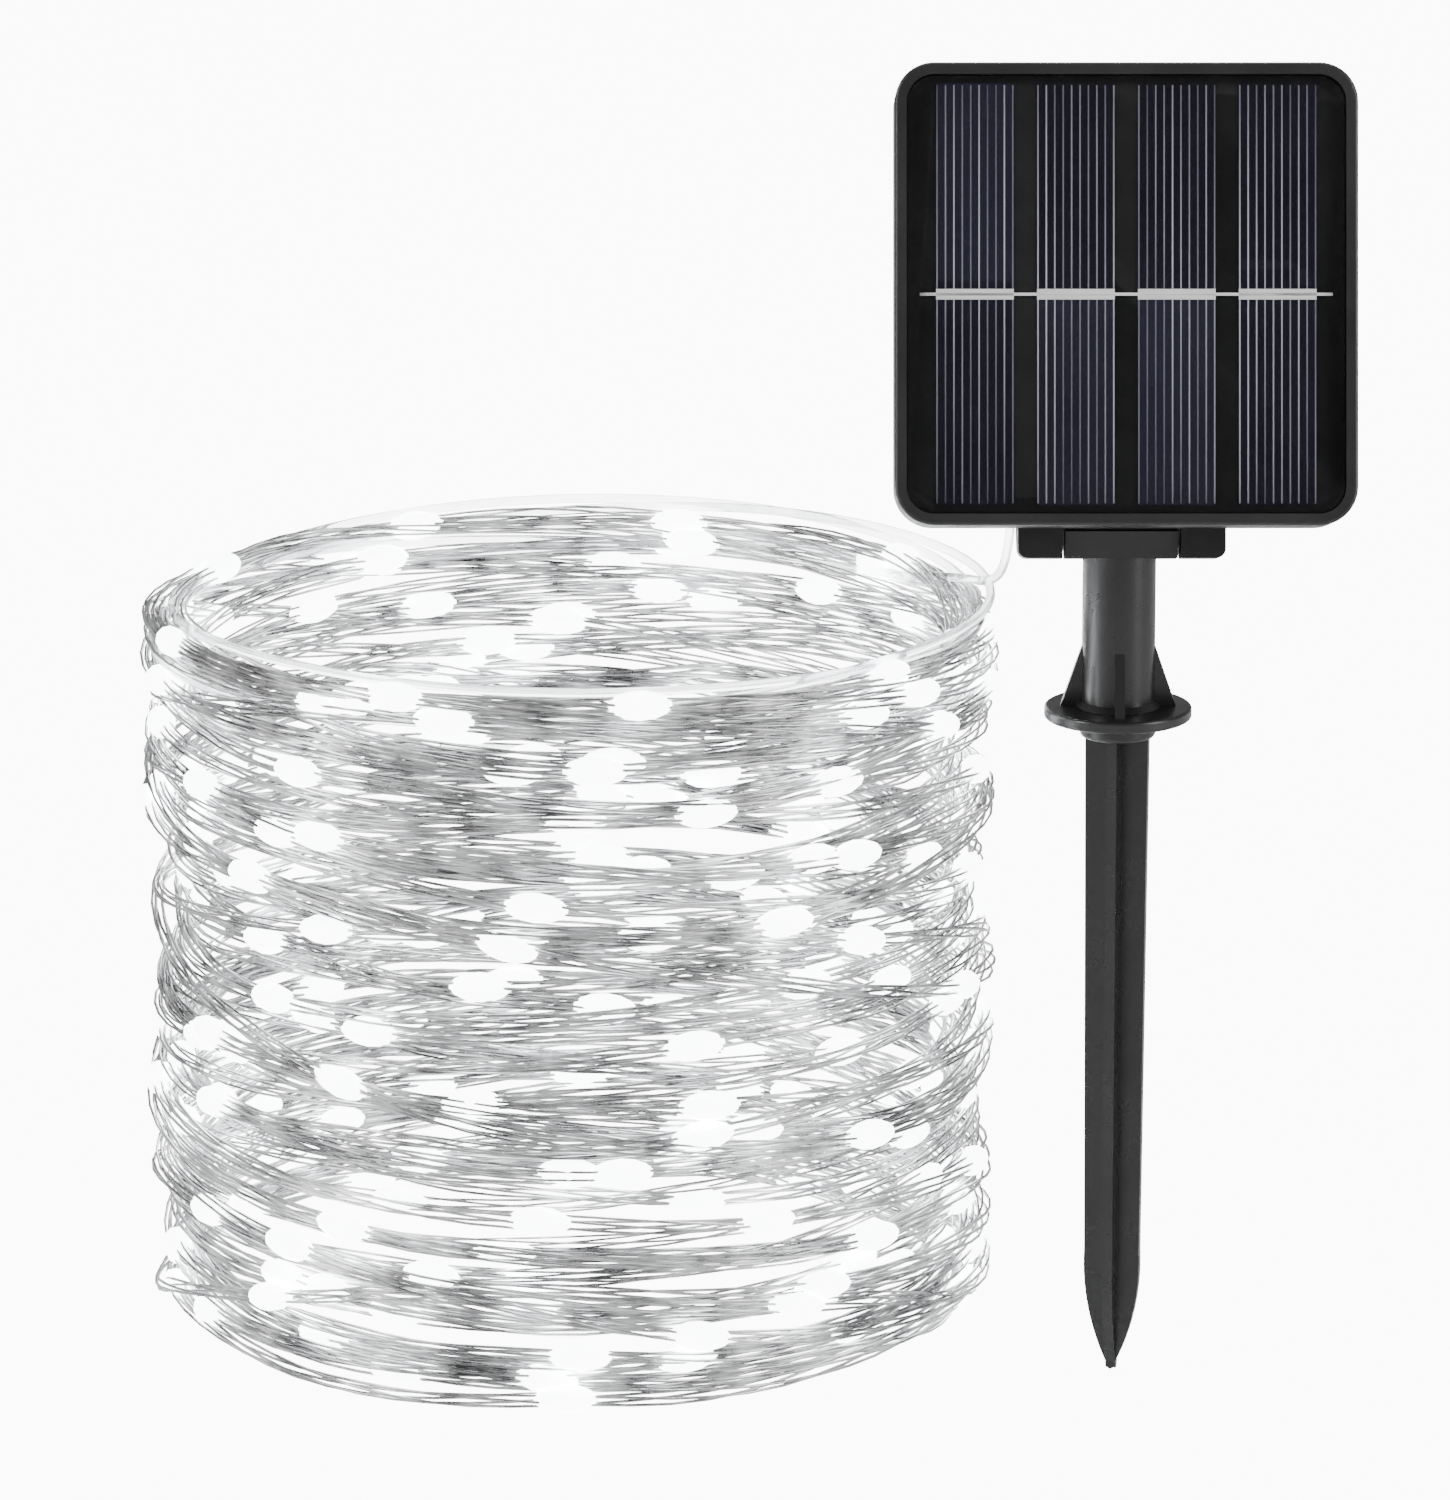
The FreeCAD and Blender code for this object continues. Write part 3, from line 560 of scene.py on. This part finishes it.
def lead_route():
    """Control points of the lead: its free run, loose turns on the top rim, then down to the sleeve."""
    rng = random.Random(5)
    points = [Vector(p) * MM for p in LEAD_ROUTE]
    ring_low, ring_high = (Vector(c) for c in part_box("lead_coil"))
    sleeve_low, sleeve_high = (Vector(c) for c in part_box("joint_sleeve"))
    sleeve = (sleeve_low + sleeve_high) / 2
    start = math.atan2(points[-1].y - COIL_MID.y, points[-1].x - COIL_MID.x)
    end = math.atan2(sleeve.y - COIL_MID.y, sleeve.x - COIL_MID.x)
    sweep = LEAD_TURNS * 2 * math.pi + (end - start) - LEAD_GAP
    steps = int(sweep / (2 * math.pi) * LEAD_STEPS)
    radii = [rng.uniform(0.0665, 0.0750) for _ in range(LEAD_TURNS + 2)]
    levels = [rng.uniform(ring_low.z - 0.0035, ring_low.z + 0.0025) for _ in range(LEAD_TURNS + 2)]
    sway = [rng.uniform(0, 6.28) for _ in range(LEAD_TURNS + 2)]
    for i in range(1, steps + 1):
        t = i / LEAD_STEPS
        angle = start + 2 * math.pi * t
        r = eased(radii, t) + 0.0016 * math.sin(2 * angle + eased(sway, t))
        z = eased(levels, t) + 0.0036 * math.sin(angle + eased(sway, t))
        z = min(max(z, ring_low.z - 0.007), ring_high.z - 0.0009)
        points.append(Vector((COIL_MID.x + r * math.cos(angle), COIL_MID.y + r * math.sin(angle), z)))
    last = start + 2 * math.pi * steps / LEAD_STEPS
    away = math.hypot(sleeve.x - COIL_MID.x, sleeve.y - COIL_MID.y)
    way_down = ((12, 0.0655, 0.1285), (24, 0.0625, 0.1235), (35, away, 0.1180), (43, away + 0.0004, 0.1160))
    for turn, r, z in way_down:
        angle = last + math.radians(turn)
        points.append(Vector((COIL_MID.x + r * math.cos(angle), COIL_MID.y + r * math.sin(angle), z)))
    return points


def lead():
    """Clear lead as a tube that follows its spline."""
    line = nurbs_points("lead_route", lead_route(), 5)
    verts = []
    faces = []
    add_tube(verts, faces, line, side_vectors(line), LEAD_D / 2, 12)
    piece = new_piece("lead", verts, faces, clear_cable())
    print("lead length", round(distances(line)[-1], 3))
    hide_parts("lead_cable", "lead_coil")
    return piece, line


# ------------------------------------------------------- floor, light, camera

def floor():
    """Stage under the object."""
    bpy.ops.mesh.primitive_plane_add(size=6.0, location=(0, 0, -0.0005))
    plane = bpy.context.object
    plane.name = "floor"
    plane.data.materials.append(floor_material())


def area_light(name, place, aim, width, height, power):
    """Soft rectangular light that faces a point."""
    data = bpy.data.lights.new(name, "AREA")
    data.shape = "RECTANGLE"
    data.size = width
    data.size_y = height
    data.energy = power
    light = bpy.data.objects.new(name, data)
    light.location = place
    light.rotation_euler = (Vector(aim) - Vector(place)).to_track_quat("-Z", "Y").to_euler()
    bpy.context.scene.collection.objects.link(light)


def lights():
    """Dim even sky, a bright backdrop to look at, a tall strip at each side and a box above."""
    world = bpy.data.worlds.new("studio")
    world.use_nodes = True
    tree = world.node_tree
    sky = tree.nodes["Background"]
    sky.inputs["Color"].default_value = (1.0, 1.0, 1.0, 1.0)
    sky.inputs["Strength"].default_value = SKY
    backdrop = tree.nodes.new("ShaderNodeBackground")
    backdrop.inputs["Color"].default_value = (1.0, 1.0, 1.0, 1.0)
    backdrop.inputs["Strength"].default_value = BACKDROP
    blend = tree.nodes.new("ShaderNodeMixShader")
    tree.links.new(seen_directly(tree), blend.inputs[0])
    tree.links.new(sky.outputs[0], blend.inputs[1])
    tree.links.new(backdrop.outputs[0], blend.inputs[2])
    tree.links.new(blend.outputs[0], tree.nodes["World Output"].inputs["Surface"])
    bpy.context.scene.world = world
    area_light("left_strip", (-1.5, -0.7, 0.6), (0, 0, 0.1), 0.45, 1.6, 24)
    area_light("right_strip", (1.4, -0.8, 0.6), (0, 0, 0.1), 0.45, 1.6, 26)
    area_light("top_box", (0.0, 0.5, 1.7), (-0.05, 0, 0.1), 1.2, 0.8, 14)


def camera():
    """Long lens, a little above the object, straight on to the solar face."""
    data = bpy.data.cameras.new("camera")
    data.lens = 239.2
    data.sensor_width = 36.0
    data.clip_end = 50.0
    holder = bpy.data.objects.new("camera", data)
    target = Vector((-0.0676, 0.005, 0.1105))
    pitch = math.radians(14.8)
    distance = 1.722
    holder.location = target + Vector((0, -math.cos(pitch), math.sin(pitch))) * distance
    holder.rotation_euler = (math.pi / 2 - pitch, 0, 0)
    bpy.context.scene.collection.objects.link(holder)
    bpy.context.scene.camera = holder


def main():
    cad_materials()
    cell_fingers()
    string, string_line, string_run = light_string()
    beads = lamp_beads(string_line, string_run)
    cable, cable_line = lead()
    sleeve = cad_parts["joint_sleeve"]
    sleeve.data.materials.clear()
    sleeve.data.materials.append(clear_cable())
    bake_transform(cable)
    floor()
    lights()
    camera()


main()
